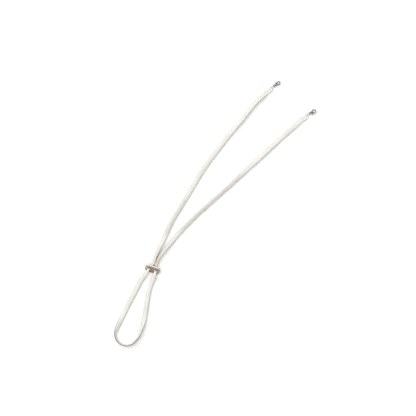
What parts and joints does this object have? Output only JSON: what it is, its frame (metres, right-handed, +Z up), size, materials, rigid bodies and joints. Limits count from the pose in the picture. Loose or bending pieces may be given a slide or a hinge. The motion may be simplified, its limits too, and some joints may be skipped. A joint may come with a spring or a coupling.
{
  "type": "eyeglass retainer strap",
  "caption": "Flat leather-look neck strap for eyeglasses, laid out with its cord loop gathered by a two-slot slider and a lobster clasp at each end.",
  "frame": {"origin": "middle of the outline, on the table the strap lies on", "axes": "+Y along the strap's length towards the clasps, +Z up from the table, +X to the right of the wearer-side view from above"},
  "size_m": [0.069, 0.3468, 0.0053],
  "materials": {
    "lace": "soft matt flat lace, ivory",
    "slider": "polished mottled horn look, taupe and khaki",
    "crimp": "stamped and tumbled",
    "clasp": "bright plated",
    "spring": "blank spring strip"
  },
  "bodies": {
    "strap": {"lace": "lace", "crimp_left": "crimp", "crimp_right": "crimp"},
    "slider": {"slider": "slider"},
    "ring_left": {"jump_ring_left": "clasp"},
    "clasp_left": {"clasp_body_left": "clasp", "clasp_pin_left": "clasp", "clasp_spring_left": "spring"},
    "lever_left": {"clasp_lever_left": "clasp"},
    "ring_right": {"jump_ring_right": "clasp"},
    "clasp_right": {"clasp_body_right": "clasp", "clasp_pin_right": "clasp", "clasp_spring_right": "spring"},
    "lever_right": {"clasp_lever_right": "clasp"}
  },
  "joints": [
    {"name": "slider_slide", "type": "slide", "parent": "strap", "child": "slider", "axis": [-0.05, 0.9987, 0], "range_m": [-0.03, 0.08], "deforming": ["lace"]},
    {"name": "ring_left_swing", "type": "hinge", "parent": "strap", "child": "ring_left", "pos_m": [-0.02162, 0.16291, 0.00115], "axis": [0, 0, 1], "range_deg": [-45, 45]},
    {"name": "clasp_left_lift", "type": "hinge", "parent": "ring_left", "child": "clasp_left", "pos_m": [-0.02108, 0.16432, 0.0022], "axis": [0.9326, -0.361, 0], "range_deg": [0, 100]},
    {"name": "lever_left_press", "type": "hinge", "parent": "clasp_left", "child": "lever_left", "pos_m": [-0.0193, 0.16836, 0.00115], "axis": [0, 0, 1], "range_deg": [0, 24], "stiffness_Nm_per_rad": 0.01, "springref_deg": -22.92, "deforming": ["clasp_spring_left"]},
    {"name": "ring_right_swing", "type": "hinge", "parent": "strap", "child": "ring_right", "pos_m": [0.02826, 0.16021, 0.00115], "axis": [0, 0, 1], "range_deg": [-45, 45]},
    {"name": "clasp_right_lift", "type": "hinge", "parent": "ring_right", "child": "clasp_right", "pos_m": [0.02896, 0.16156, 0.0022], "axis": [0.8884, -0.4592, 0], "range_deg": [0, 100]},
    {"name": "lever_right_press", "type": "hinge", "parent": "clasp_right", "child": "lever_right", "pos_m": [0.0308, 0.16556, 0.00115], "axis": [0, 0, -1], "range_deg": [0, 24], "stiffness_Nm_per_rad": 0.01, "springref_deg": -22.92, "deforming": ["clasp_spring_right"]}
  ]
}
